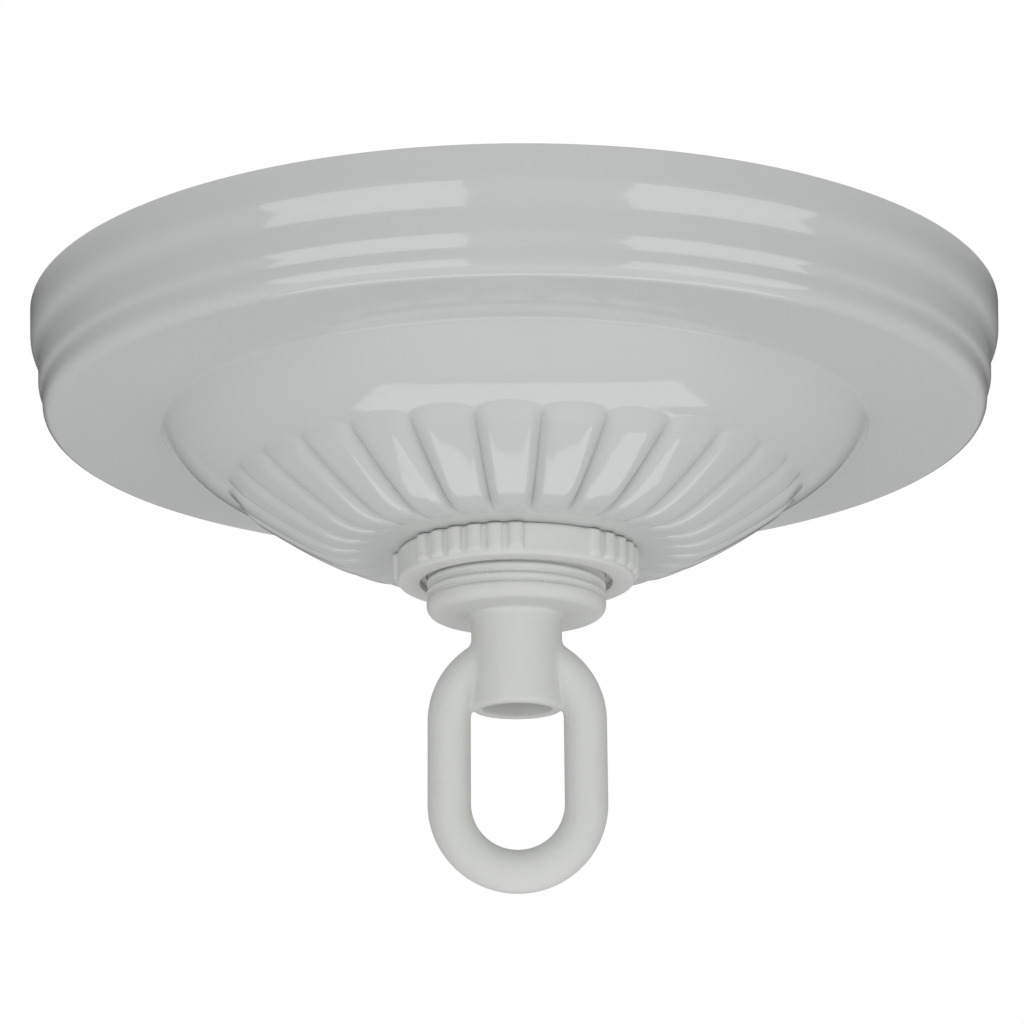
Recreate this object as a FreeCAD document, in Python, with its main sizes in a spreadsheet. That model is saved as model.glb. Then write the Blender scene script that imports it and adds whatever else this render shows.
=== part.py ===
import FreeCAD, Part
import math
import os

import Sketcher
from FreeCAD import Vector

# A hanging ceiling rose: a fluted canopy held up by a screw ring on the collar of a cast chain loop.
# Millimetres. The origin is the middle of the ceiling plane, +Z is up and the loop lies in the XZ plane.

# Driving sizes: name, value, what it measures
SIZES = [
    ("canopy_diameter", 133.35, "canopy, outside diameter at the ceiling"),
    ("sheet_gauge", 0.8, "canopy, thickness of the stamped sheet"),
    ("band_height", 15.4, "canopy, height of the beaded side band"),
    ("band_draft", 3.6, "canopy, lean of the band's walls from the vertical"),
    ("step_lean", 18.0, "canopy, greatest lean in the smooth steps between the band's beads"),
    ("upper_step", 5.9, "canopy, ceiling to the middle of the upper step"),
    ("upper_step_height", 3.0, "canopy, height of the upper step"),
    ("step_spacing", 5.5, "canopy, middle of the upper step to the middle of the lower one"),
    ("lower_step_height", 2.3, "canopy, height of the lower step"),
    ("band_corner", 2.1, "canopy, outside radius of the corner under the band"),
    ("bowl_diameter", 98.4, "canopy, diameter of the bowl where it leaves the flat ring"),
    ("bowl_depth", 16.7, "canopy, depth of the bowl below the flat ring"),
    ("root_radius", 0.8, "canopy, radius where the bowl leaves the flat ring"),
    ("shoulder_radius", 20.2, "canopy, radius of the smooth shoulder above the lobes"),
    ("shoulder_start", 35.0, "canopy, lean of the shoulder from the vertical at its top"),
    ("shoulder_end", 67.5, "canopy, lean of the shoulder from the vertical at its foot"),
    ("lobe_count", 28, "canopy, lobes round the bowl"),
    ("lobe_height", 1.5, "canopy, how far a lobe stands out of its valleys"),
    ("lobe_turn", 5.1, "canopy, angle from the front to the first valley"),
    ("seat_diameter", 44.0, "canopy, flat seat for the ring"),
    ("canopy_hole", 28.6, "canopy, centre hole"),
    ("thread_diameter", 24.4, "collar, outside diameter of its thread"),
    ("thread_gap", 0.05, "collar to ring, running gap on the radius"),
    ("collar_height", 15.9, "collar, height"),
    ("collar_reach", 9.0, "collar, how far it shows below the canopy"),
    ("collar_round", 1.5, "collar, radius of its lower edge"),
    ("neck_diameter", 12.3, "neck, outside diameter"),
    ("neck_length", 13.0, "neck, length below the collar"),
    ("neck_root", 1.0, "neck, radius where it leaves the collar"),
    ("neck_lip", 0.4, "neck, rounding of its lower edge"),
    ("wire_way", 9.4, "neck, bore for the wires"),
    ("pipe_socket", 14.3, "collar, depth of the tapped hole for the pipe"),
    ("link_width", 24.1, "link, width across"),
    ("link_rod", 5.8, "link, thickness of its rod"),
    ("link_straight", 11.2, "link, length of its straight sides"),
    ("link_drop", 14.4, "link, collar to the middle of the upper bend"),
    ("ring_diameter", 33.0, "ring, diameter of its wall"),
    ("ring_height", 4.4, "ring, height"),
    ("ring_edge", 0.4, "ring, rounding of its outer edges"),
    ("ring_relief", 26.2, "ring, diameter of the relief in its lower face"),
    ("relief_depth", 1.0, "ring, depth of that relief"),
    ("rib_size", 0.9, "ring, width of a rib on its wall"),
    ("rib_angle", 10.0, "ring, angle between ribs"),
    ("pipe_diameter", 10.2, "pipe, outside diameter"),
    ("pipe_bore", 7.6, "pipe, bore"),
    ("pipe_length", 44.45, "pipe, length"),
    ("pipe_inset", 1.4, "pipe, space left below it in the tapped hole"),
    ("nut_flats", 14.3, "nut, across its flats"),
    ("nut_height", 3.6, "nut, height"),
    ("strap_end", 4.6, "strap, metal left beyond a slot"),
    ("strap_width", 19.0, "strap, width"),
    ("strap_gauge", 1.6, "strap, thickness"),
    ("strap_corner", 4.0, "strap, radius of its corners"),
    ("strap_gap", 0.4, "strap, space above it up to the ceiling plane"),
    ("boss_diameter", 13.4, "strap, diameter of the tapped collar"),
    ("boss_height", 3.0, "strap, height of the tapped collar"),
    ("slot_run", 13.5, "strap, distance between the middles of a slot's ends"),
    ("slot_spare", 2.05, "strap, how far the outer end's middle lies past the screw"),
    ("slot_width", 4.8, "strap, width of the slots"),
    ("screw_spacing", 88.9, "box screws, distance apart"),
    ("screw_diameter", 4.16, "box screws, diameter"),
    ("screw_length", 19.0, "box screws, length under the head"),
    ("screw_neck", 3.6, "box screws, diameter of the plain neck under the head"),
    ("screw_head", 8.2, "box screws, diameter of the head"),
    ("screw_head_height", 2.6, "box screws, height of the head"),
    ("ground_place", 21.0, "ground screw, distance from the middle"),
    ("ground_diameter", 4.8, "ground screw, diameter"),
    ("ground_length", 9.5, "ground screw, length under the head"),
    ("ground_head", 9.6, "ground screw, diameter of its washer face"),
    ("ground_hex", 7.9, "ground screw, across its flats"),
    ("ground_head_height", 3.4, "ground screw, height of the head"),
    ("drive_slot", 1.2, "screws, width of the driver slot"),
    ("drive_depth", 1.2, "screws, depth of the driver slot"),
]

FULL_TURN = 360
RING_GROUPS = 4
RIBS_IN_GROUP = 6
FIRST_RIB_ANGLE = -50

doc = FreeCAD.newDocument("ceiling_rose")
sheet = doc.addObject("Spreadsheet::Sheet", "Sizes")
for row, (alias, value, meaning) in enumerate(SIZES, start=1):
    sheet.set(f"A{row}", meaning)
    sheet.set(f"B{row}", str(value))
    sheet.setAlias(f"B{row}", alias)
doc.recompute()


def size(alias):
    """A driving size as a number."""
    return float(sheet.get(alias))


def bind(item, **sizes):
    """Tie properties of an object to expressions on the driving sizes."""
    for name, expression in sizes.items():
        item.setExpression(name.replace("__", "."), expression)


def number(item, expression):
    return float(item.evalExpression(expression))


# Places that several pieces share, as expressions on the driving sizes
SEAT_Z = "-(Sizes.band_height + Sizes.bowl_depth)"
COLLAR_FOOT_Z = f"({SEAT_Z} - Sizes.collar_reach)"
COLLAR_TOP_Z = f"({COLLAR_FOOT_Z} + Sizes.collar_height)"
SOCKET_END_Z = f"({COLLAR_TOP_Z} - Sizes.pipe_socket)"
NECK_END_Z = f"({COLLAR_FOOT_Z} - Sizes.neck_length)"
UPPER_BEND_Z = f"({COLLAR_FOOT_Z} - Sizes.link_drop)"
LOWER_BEND_Z = f"({UPPER_BEND_Z} - Sizes.link_straight)"
LINK_MIDDLE_Z = f"({UPPER_BEND_Z} - Sizes.link_straight / 2)"
LINK_RADIUS = "((Sizes.link_width - Sizes.link_rod) / 2)"
RING_FOOT_Z = f"({SEAT_Z} - Sizes.ring_height)"
PIPE_FOOT_Z = f"({SOCKET_END_Z} + Sizes.pipe_inset)"
STRAP_TOP_Z = "(-Sizes.strap_gap)"
STRAP_FOOT_Z = f"({STRAP_TOP_Z} - Sizes.strap_gauge)"
SLOT_OUTER_X = "(Sizes.screw_spacing / 2 + Sizes.slot_spare)"
SLOT_INNER_X = f"({SLOT_OUTER_X} - Sizes.slot_run)"
STRAP_END_X = f"({SLOT_OUTER_X} + Sizes.slot_width / 2 + Sizes.strap_end)"


def body_with_label(label):
    body = doc.addObject("PartDesign::Body", label)
    body.Label = label
    return body


def sketch_on(body, name, role):
    """A sketch on one of the body's own origin planes."""
    sketch = body.newObject("Sketcher::SketchObject", name)
    plane = next(item for item in body.Origin.OriginFeatures if item.Role == role)
    sketch.AttachmentSupport = [(plane, "")]
    sketch.MapMode = "FlatFace"
    return sketch


def hold(sketch, geometry, point, x, y):
    """Hold a point of a sketch at expressions for its two coordinates."""
    for kind, axis, expression in (("DistanceX", -2, x), ("DistanceY", -1, y)):
        value = number(sketch, expression)
        if abs(value) < 1e-9:
            sketch.addConstraint(Sketcher.Constraint("PointOnObject", geometry, point, axis))
            continue
        index = sketch.addConstraint(Sketcher.Constraint(kind, -1, 1, geometry, point, value))
        sketch.setExpression(f"Constraints[{index}]", expression)


def add_outline(sketch, corners):
    """A closed outline of straight runs through corners given as expressions."""
    points = [Vector(number(sketch, x), number(sketch, y), 0) for x, y in corners]
    lines = []
    for start, end in zip(points, points[1:] + points[:1]):
        lines.append(sketch.addGeometry(Part.LineSegment(start, end)))
    for line, following in zip(lines, lines[1:] + lines[:1]):
        sketch.addConstraint(Sketcher.Constraint("Coincident", line, 2, following, 1))
    for line, (x, y) in zip(lines, corners):
        hold(sketch, line, 1, x, y)


def add_circle(sketch, x, y, radius):
    centre = Vector(number(sketch, x), number(sketch, y), 0)
    circle = sketch.addGeometry(Part.Circle(centre, Vector(0, 0, 1), number(sketch, radius)))
    hold(sketch, circle, 3, x, y)
    index = sketch.addConstraint(Sketcher.Constraint("Radius", circle, number(sketch, radius)))
    sketch.setExpression(f"Constraints[{index}]", radius)


def add_slot(sketch, inner, outer, radius):
    """A slot along X with round ends, whose end centres are given as expressions."""
    near, far, half = (number(sketch, text) for text in (inner, outer, radius))
    if near > far:
        near, far, inner, outer = far, near, outer, inner
    up = Vector(0, 0, 1)
    quarter = math.pi / 2
    left = Part.ArcOfCircle(Part.Circle(Vector(near, 0, 0), up, half), quarter, 3 * quarter)
    right = Part.ArcOfCircle(Part.Circle(Vector(far, 0, 0), up, half), -quarter, quarter)
    top = Part.LineSegment(Vector(near, half, 0), Vector(far, half, 0))
    bottom = Part.LineSegment(Vector(near, -half, 0), Vector(far, -half, 0))
    left, right, top, bottom = (sketch.addGeometry(item) for item in (left, right, top, bottom))
    for arc, arc_end, line, line_end in (
        (left, 1, top, 1), (left, 2, bottom, 1), (right, 1, bottom, 2), (right, 2, top, 2),
    ):
        sketch.addConstraint(Sketcher.Constraint("Tangent", arc, arc_end, line, line_end))
    hold(sketch, left, 3, inner, "0")
    hold(sketch, right, 3, outer, "0")
    index = sketch.addConstraint(Sketcher.Constraint("Radius", left, half))
    sketch.setExpression(f"Constraints[{index}]", radius)


def turned(body, name, corners, kind="PartDesign::Revolution"):
    """A body of revolution about Z, or a turned cut, from an outline in the XZ plane."""
    sketch = sketch_on(body, f"{name}_outline", "XZ_Plane")
    add_outline(sketch, corners)
    feature = body.newObject(kind, name)
    feature.Profile = sketch
    feature.ReferenceAxis = (sketch, ["V_Axis"])
    feature.Angle = FULL_TURN
    doc.recompute()
    return feature


def rim_edges(feature, radius, height):
    """Names of the round edges of a feature at one radius and height."""
    names = []
    for index, edge in enumerate(feature.Shape.Edges, start=1):
        curve = edge.Curve
        if not isinstance(curve, Part.Circle):
            continue
        same_radius = abs(curve.Radius - radius) < 1e-6
        if same_radius and abs(curve.Center.z - height) < 1e-6:
            names.append(f"Edge{index}")
    return names


def rounded(body, name, base, edges, radius):
    fillet = body.newObject("PartDesign::Fillet", name)
    fillet.Base = (base, edges)
    bind(fillet, Radius=radius)
    doc.recompute()
    return fillet


# Canopy: a stamped sheet whose inner side follows the outer one. Profile points are (radius, 0, height).
# The band and the flat rings are full turns, and the bowl repeats one sector for each lobe.
LOBE_TIP = 0.22
LOBE_TIP_HEIGHT = 0.4
LOBE_GROWTH = 0.5
LOBE_FADE = 0.42
LOBE_ROUNDNESS = 2.1
CREST_ROWS = 5
CROSS_STEPS = 4
VALLEY_START_PULL = 0.14
VALLEY_END_PULL = 0.22
SEW_TOLERANCE = 0.001
UP = Vector(0, 0, 1)


def profile_normal(tangent):
    """Outward normal of a profile that runs down and in."""
    return Vector(-tangent.z, 0, tangent.x).normalize()


def profile_arc(centre, radius, start_angle, end_angle):
    """Part of a circle in the profile plane, by angles in degrees from the radius axis."""
    points = []
    for angle in (start_angle, (start_angle + end_angle) / 2, end_angle):
        turn = math.radians(angle)
        points.append(centre + Vector(radius * math.cos(turn), 0, radius * math.sin(turn)))
    return Part.Arc(*points)


def band_curves(gauge):
    """The side band from the ceiling to the flat ring: leaning walls, two smooth steps and a corner."""
    draft_angle = size("band_draft")
    lean_angle = size("step_lean")
    draft = math.radians(draft_angle)
    lean = math.radians(lean_angle)
    outward = Vector(math.cos(draft), 0, -math.sin(draft))
    down = Vector(-math.sin(draft), 0, -math.cos(draft))
    steepest = Vector(math.cos(lean), 0, -math.sin(lean))
    corner = size("band_corner")
    place = Vector(size("canopy_diameter") / 2, 0, 0)
    start = place - Vector(gauge / math.cos(draft), 0, 0)
    upper = -size("upper_step")
    lower = upper - size("step_spacing")
    curves = []
    for middle, height in ((upper, size("upper_step_height")), (lower, size("lower_step_height"))):
        top = place + down * ((place.z - middle - height / 2) / math.cos(draft))
        radius = height / 2 / (math.sin(lean) - math.sin(draft))
        bulge = top - outward * radius
        hollow = bulge + steepest * (2 * radius)
        place = hollow - outward * radius
        curves += [
            Part.LineSegment(start, top - outward * gauge),
            profile_arc(bulge, radius - gauge, -draft_angle, -lean_angle),
            profile_arc(hollow, radius + gauge, 180 - lean_angle, 180 - draft_angle),
        ]
        start = place - outward * gauge
    inside = place - outward * corner
    turn = inside + down * ((inside.z + size("band_height") - corner) / math.cos(draft))
    curves.append(Part.LineSegment(start, turn + outward * (corner - gauge)))
    curves.append(profile_arc(turn, corner - gauge, -draft_angle, -90))
    return curves


def shoulder_curves(gauge):
    """The root of the bowl and its smooth shoulder, one tangent to the other."""
    root = size("root_radius")
    radius = size("shoulder_radius")
    start_angle = 180 - size("shoulder_start")
    root_centre = Vector(size("bowl_diameter") / 2, 0, -size("band_height") - root)
    outer_root = profile_arc(root_centre, root, 90, start_angle)
    turn = math.radians(size("shoulder_start"))
    centre = outer_root.EndPoint - Vector(radius * math.cos(turn), 0, -radius * math.sin(turn))
    return [
        profile_arc(root_centre, root + gauge, 90, start_angle),
        profile_arc(centre, radius - gauge, -size("shoulder_start"), -size("shoulder_end")),
    ]


def valley_line():
    """The line of the valleys on the outer side, from the shoulder to the seat of the ring."""
    top = shoulder_curves(0)[-1].EndPoint
    lean = math.radians(size("shoulder_end"))
    slope = Vector(-math.sin(lean), 0, -math.cos(lean))
    seat = Vector(size("seat_diameter") / 2, 0, -size("band_height") - size("bowl_depth"))
    span = (top - seat).Length
    line = Part.BezierCurve()
    line.setPoles([
        top,
        top + slope * (VALLEY_START_PULL * span),
        seat + Vector(VALLEY_END_PULL * span, 0, 0),
        seat,
    ])
    return line


def crest_height(share):
    """Height of a lobe along the bowl: a quick round tip, a slow swell, then it dies away at the seat."""
    tip = min(1.0, share / LOBE_TIP)
    swell = 1 - (1 - min(1.0, share / LOBE_GROWTH)) ** 2
    fade = 1 - max(0.0, (share - LOBE_FADE) / (1 - LOBE_FADE)) ** 2
    rise = LOBE_TIP_HEIGHT * tip * tip * (3 - 2 * tip) + (1 - LOBE_TIP_HEIGHT) * swell
    return size("lobe_height") * rise * fade


def lobe_face(gauge, sector):
    """One lobe between two valleys, over a sector that starts at the X axis."""
    valley = valley_line()
    quarter = math.pi / 2
    shares = [LOBE_TIP * (1 - math.cos(quarter * row / CREST_ROWS)) for row in range(CREST_ROWS)]
    shares += [LOBE_TIP + (1 - LOBE_TIP) * row / (CREST_ROWS + 1) for row in range(CREST_ROWS + 2)]
    rows = []
    for share in shares:
        point, tangent = valley.getD1(share)
        normal = profile_normal(tangent)
        row = []
        for step in range(-CROSS_STEPS, CROSS_STEPS + 1):
            across = step / CROSS_STEPS
            rise = crest_height(share) * (1 - abs(across) ** LOBE_ROUNDNESS)
            place = point + normal * (rise - gauge)
            angle = math.radians(sector) * (1 + across) / 2
            row.append(Vector(place.x * math.cos(angle), place.x * math.sin(angle), place.z))
        rows.append(row)
    return surface_through(rows)


def even_curve(points):
    """A smooth curve through points that are evenly spaced along its parameter."""
    curve = Part.BSplineCurve()
    curve.interpolate(Points=points, Parameters=[float(index) for index in range(len(points))])
    return curve


def surface_through(rows):
    """A smooth face through rows of points: curves along the rows first, then across their poles."""
    along = [even_curve(row) for row in rows]
    columns = zip(*[curve.getPoles() for curve in along])
    across = [even_curve(list(column)) for column in columns]
    poles = [list(row) for row in zip(*[curve.getPoles() for curve in across])]
    first, second = across[0], along[0]
    surface = Part.BSplineSurface()
    surface.buildFromPolesMultsKnots(
        poles,
        first.getMultiplicities(), second.getMultiplicities(),
        first.getKnots(), second.getKnots(),
        False, False, first.Degree, second.Degree,
    )
    return surface.toShape()


def circle_wire(radius, height, arcs=1):
    """A circle about Z, whole or in as many arcs as there are lobes."""
    circle = Part.Circle(Vector(0, 0, height), UP, radius)
    if arcs == 1:
        return Part.Wire(circle.toShape())
    first = math.radians(size("lobe_turn") - 90)
    step = 2 * math.pi / arcs
    edges = []
    for index in range(arcs):
        start = first + index * step
        edges.append(Part.ArcOfCircle(circle, start, start + step).toShape())
    return Part.Wire(edges)


def flat_ring(outer, inner):
    return Part.makeFace([outer, inner], "Part::FaceMakerBullseye")


def full_turn(curve):
    return curve.toShape().revolve(Vector(), UP, FULL_TURN)


def skin_faces(gauge):
    """All faces of one side of the sheet, from the band to the centre hole."""
    lobes = int(size("lobe_count"))
    sector = FULL_TURN / lobes
    band = band_curves(gauge)
    shoulder = shoulder_curves(gauge)
    flat_edge = band[-1].EndPoint
    seat_z = -size("band_height") - size("bowl_depth") + gauge
    faces = [full_turn(curve) for curve in band]
    faces.append(flat_ring(
        circle_wire(flat_edge.x, flat_edge.z),
        circle_wire(size("bowl_diameter") / 2, flat_edge.z, lobes),
    ))
    faces.append(flat_ring(
        circle_wire(size("seat_diameter") / 2, seat_z, lobes),
        circle_wire(size("canopy_hole") / 2, seat_z),
    ))
    pieces = [curve.toShape().revolve(Vector(), UP, sector) for curve in shoulder]
    pieces.append(lobe_face(gauge, sector))
    for index in range(lobes):
        turn = size("lobe_turn") - 90 + index * sector
        for piece in pieces:
            faces.append(piece.rotated(Vector(), UP, turn))
    return faces


def canopy():
    gauge = size("sheet_gauge")
    radius = size("canopy_diameter") / 2
    hole = size("canopy_hole") / 2
    seat_z = -size("band_height") - size("bowl_depth")
    rim = flat_ring(circle_wire(radius, 0), circle_wire(band_curves(gauge)[0].StartPoint.x, 0))
    lip = full_turn(Part.LineSegment(Vector(hole, 0, seat_z), Vector(hole, 0, seat_z + gauge)))
    sheet_skin = Part.Compound(skin_faces(0) + skin_faces(gauge) + [rim, lip])
    sheet_skin.sewShape(SEW_TOLERANCE)
    solid = Part.makeSolid(sheet_skin.Shells[0])
    if solid.Volume < 0:
        solid.reverse()
    feature = doc.addObject("Part::Feature", "canopy")
    feature.Label = "canopy"
    feature.Shape = solid


# Hanging loop: one casting, a collar and neck turned about Z with a chain link swept round it

def hanging_loop():
    body = body_with_label("hanging_loop")
    collar = "Sizes.thread_diameter / 2"
    neck = "Sizes.neck_diameter / 2"
    turned(body, "collar_and_neck", [
        ("0", COLLAR_TOP_Z), (collar, COLLAR_TOP_Z), (collar, COLLAR_FOOT_Z),
        (neck, COLLAR_FOOT_Z), (neck, NECK_END_Z), ("0", NECK_END_Z),
    ])
    blank = body.Tip
    edges = rim_edges(blank, number(sheet, collar), number(sheet, COLLAR_FOOT_Z))
    blank = rounded(body, "collar_edge", blank, edges, "Sizes.collar_round")
    edges = rim_edges(blank, number(sheet, neck), number(sheet, COLLAR_FOOT_Z))
    blank = rounded(body, "neck_root", blank, edges, "Sizes.neck_root")
    edges = rim_edges(blank, number(sheet, neck), number(sheet, NECK_END_Z))
    rounded(body, "neck_lip", blank, edges, "Sizes.neck_lip")
    path = link_path(body)
    section = sketch_on(body, "link_section", "XY_Plane")
    section.setExpression("AttachmentOffset.Base.z", LINK_MIDDLE_Z)
    doc.recompute()
    add_circle(section, LINK_RADIUS, "0", "Sizes.link_rod / 2")
    link = body.newObject("PartDesign::AdditivePipe", "link")
    link.Profile = section
    link.Spine = path
    doc.recompute()
    tap = "Sizes.pipe_diameter / 2"
    way = "Sizes.wire_way / 2"
    turned(body, "wire_bore", [
        ("0", COLLAR_TOP_Z), (tap, COLLAR_TOP_Z), (tap, SOCKET_END_Z),
        (way, SOCKET_END_Z), (way, NECK_END_Z), ("0", NECK_END_Z),
    ], "PartDesign::Groove")
    return body


def link_path(body):
    """Middle line of the link's rod: two straight sides and two round ends."""
    sketch = sketch_on(body, "link_path", "XZ_Plane")
    radius = number(sketch, LINK_RADIUS)
    upper = Vector(0, number(sketch, UPPER_BEND_Z), 0)
    lower = Vector(0, number(sketch, LOWER_BEND_Z), 0)
    side = Vector(radius, 0, 0)
    axis = Vector(0, 0, 1)
    right = sketch.addGeometry(Part.LineSegment(lower + side, upper + side))
    top = sketch.addGeometry(Part.ArcOfCircle(Part.Circle(upper, axis, radius), 0, math.pi))
    left = sketch.addGeometry(Part.LineSegment(upper - side, lower - side))
    bottom = sketch.addGeometry(Part.ArcOfCircle(Part.Circle(lower, axis, radius), math.pi, 2 * math.pi))
    for one, following in ((right, top), (top, left), (left, bottom), (bottom, right)):
        sketch.addConstraint(Sketcher.Constraint("Tangent", one, 2, following, 1))
    hold(sketch, top, 3, "0", UPPER_BEND_Z)
    hold(sketch, bottom, 3, "0", LOWER_BEND_Z)
    index = sketch.addConstraint(Sketcher.Constraint("Radius", top, radius))
    sketch.setExpression(f"Constraints[{index}]", LINK_RADIUS)
    doc.recompute()
    return sketch


# Collar ring: a turned ring with groups of half-round ribs on its wall

def collar_ring():
    body = body_with_label("collar_ring")
    bore = "Sizes.thread_diameter / 2 + Sizes.thread_gap"
    wall = "Sizes.ring_diameter / 2"
    relief = "Sizes.ring_relief / 2"
    relief_top = f"{RING_FOOT_Z} + Sizes.relief_depth"
    turned(body, "ring", [
        (bore, SEAT_Z), (wall, SEAT_Z), (wall, RING_FOOT_Z),
        (relief, RING_FOOT_Z), (relief, relief_top), (bore, relief_top),
    ])
    blank = body.Tip
    radius = number(sheet, wall)
    edges = rim_edges(blank, radius, number(sheet, SEAT_Z))
    edges += rim_edges(blank, radius, number(sheet, RING_FOOT_Z))
    rounded(body, "ring_edges", blank, edges, "Sizes.ring_edge")
    sketch = sketch_on(body, "rib_sections", "XY_Plane")
    sketch.setExpression("AttachmentOffset.Base.z", f"{RING_FOOT_Z} + Sizes.ring_edge")
    doc.recompute()
    for index in range(RIBS_IN_GROUP):
        angle = f"({FIRST_RIB_ANGLE} + {index} * Sizes.rib_angle - 90) * 1 deg"
        add_circle(sketch, f"{wall} * cos({angle})", f"{wall} * sin({angle})", "Sizes.rib_size / 2")
    ribs = body.newObject("PartDesign::Pad", "rib_group")
    ribs.Profile = sketch
    bind(ribs, Length="Sizes.ring_height - 2 * Sizes.ring_edge")
    doc.recompute()
    pattern = body.newObject("PartDesign::PolarPattern", "rib_groups")
    pattern.Originals = [ribs]
    pattern.Axis = (sketch, ["N_Axis"])
    pattern.Angle = FULL_TURN
    pattern.Occurrences = RING_GROUPS
    body.Tip = pattern
    doc.recompute()
    return body


# Mounting strap: a flat steel bar with round corners, a drawn collar, two slots and a tapped hole

def mounting_strap():
    body = body_with_label("mounting_strap")
    outline = sketch_on(body, "strap_outline", "XY_Plane")
    outline.setExpression("AttachmentOffset.Base.z", STRAP_TOP_Z)
    wide_half = "Sizes.strap_width / 2"
    add_outline(outline, [
        (f"-{STRAP_END_X}", f"-{wide_half}"), (STRAP_END_X, f"-{wide_half}"),
        (STRAP_END_X, wide_half), (f"-{STRAP_END_X}", wide_half),
    ])
    bar = body.newObject("PartDesign::Pad", "bar")
    bar.Profile = outline
    bar.Reversed = True
    bind(bar, Length="Sizes.strap_gauge")
    doc.recompute()
    upright = [
        f"Edge{index}" for index, edge in enumerate(bar.Shape.Edges, start=1)
        if abs(edge.tangentAt(edge.FirstParameter).z) > 0.9
    ]
    rounded(body, "bar_corners", bar, upright, "Sizes.strap_corner")
    boss_outline = sketch_on(body, "boss_outline", "XY_Plane")
    boss_outline.setExpression("AttachmentOffset.Base.z", STRAP_TOP_Z)
    add_circle(boss_outline, "0", "0", "Sizes.boss_diameter / 2")
    boss = body.newObject("PartDesign::Pad", "drawn_collar")
    boss.Profile = boss_outline
    bind(boss, Length="Sizes.boss_height")
    doc.recompute()
    holes = sketch_on(body, "holes", "XY_Plane")
    add_circle(holes, "0", "0", "Sizes.pipe_diameter / 2")
    add_circle(holes, "Sizes.ground_place", "0", "Sizes.ground_diameter / 2")
    add_slot(holes, SLOT_INNER_X, SLOT_OUTER_X, "Sizes.slot_width / 2")
    add_slot(holes, f"-{SLOT_INNER_X}", f"-{SLOT_OUTER_X}", "Sizes.slot_width / 2")
    cut = body.newObject("PartDesign::Pocket", "hole_cuts")
    cut.Profile = holes
    cut.Type = "ThroughAll"
    cut.Midplane = True
    doc.recompute()
    return body


# Pipe, nuts and screws: primitives and booleans

def solid(kind, name, **sizes):
    """A primitive with its sizes and place tied to the driving sizes."""
    item = doc.addObject(f"Part::{kind}", name)
    bind(item, **sizes)
    return item


def boolean(kind, label, base, tool):
    item = doc.addObject(f"Part::{kind}", label)
    item.Base = base
    item.Tool = tool
    item.Label = label
    return item


def threaded_pipe():
    sizes = {"Height": "Sizes.pipe_length", "Placement__Base__z": PIPE_FOOT_Z}
    outside = solid("Cylinder", "pipe_outside", Radius="Sizes.pipe_diameter / 2", **sizes)
    bore = solid("Cylinder", "pipe_hollow", Radius="Sizes.pipe_bore / 2", **sizes)
    return boolean("Cut", "threaded_pipe", outside, bore)


def hex_nut(name, foot):
    """A hexagon nut with its corners turned off at both ends, standing at a height."""
    flats = "Sizes.nut_flats / 2"
    corner = f"{flats} / cos(30 deg)"
    place = {"Placement__Base__z": foot}
    height = "Sizes.nut_height"
    block = solid("Prism", f"{name}_hexagon", Circumradius=corner, Height=height, **place)
    block.Polygon = 6
    half = "Sizes.nut_height / 2"
    wide = f"{flats} + Sizes.nut_height"
    low = solid("Cone", f"{name}_lower_cone", Radius1=flats, Radius2=wide, Height=half, **place)
    upper_place = {"Placement__Base__z": f"{foot} + {half}"}
    high = solid("Cone", f"{name}_upper_cone", Radius1=wide, Radius2=flats, Height=half, **upper_place)
    cones = boolean("Fuse", f"{name}_cones", low, high)
    turned_block = boolean("Common", f"{name}_turned", block, cones)
    bore = solid("Cylinder", f"{name}_bore", Radius="Sizes.pipe_diameter / 2", Height=height, **place)
    return boolean("Cut", name, turned_block, bore)


def group(label, items):
    """Like pieces that share one node."""
    item = doc.addObject("Part::Compound", label)
    item.Links = items
    item.Label = label
    return item


def hex_locknuts():
    loop_nut = hex_nut("loop_nut", COLLAR_TOP_Z)
    strap_nut = hex_nut("strap_nut", f"({STRAP_FOOT_Z} - Sizes.nut_height)")
    return group("hex_locknuts", [loop_nut, strap_nut])


def box_screw(name, x):
    """A round-headed screw up through the strap, with a plain neck in the strap's slot."""
    neck = solid("Cylinder", f"{name}_neck", Radius="Sizes.screw_neck / 2", Height=f"-{STRAP_FOOT_Z}",
                 Placement__Base__x=x, Placement__Base__z=STRAP_FOOT_Z)
    shank = solid("Cylinder", f"{name}_shank", Radius="Sizes.screw_diameter / 2",
                  Height=f"Sizes.screw_length + {STRAP_FOOT_Z}", Placement__Base__x=x)
    head_radius = "Sizes.screw_head / 2"
    head_height = "Sizes.screw_head_height"
    ball_radius = f"(({head_radius}) ^ 2 + {head_height} ^ 2) / (2 * {head_height})"
    ball = solid("Sphere", f"{name}_ball", Radius=ball_radius, Placement__Base__x=x,
                 Placement__Base__z=f"{STRAP_FOOT_Z} - {head_height} + {ball_radius}")
    head_foot = f"{STRAP_FOOT_Z} - {head_height}"
    block = solid("Cylinder", f"{name}_block", Radius=head_radius, Height=head_height,
                  Placement__Base__x=x, Placement__Base__z=head_foot)
    head = boolean("Common", f"{name}_head", ball, block)
    stem = boolean("Fuse", f"{name}_stem", shank, neck)
    whole = boolean("Fuse", f"{name}_whole", stem, head)
    slot = driver_slot(name, x, "Sizes.screw_head", head_foot)
    return boolean("Cut", name, whole, slot)


def driver_slot(name, x, length, foot):
    return solid(
        "Box", f"{name}_slot", Length=length, Width="Sizes.drive_slot", Height="Sizes.drive_depth",
        Placement__Base__x=f"{x} - {length} / 2", Placement__Base__y="-Sizes.drive_slot / 2",
        Placement__Base__z=foot,
    )


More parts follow.
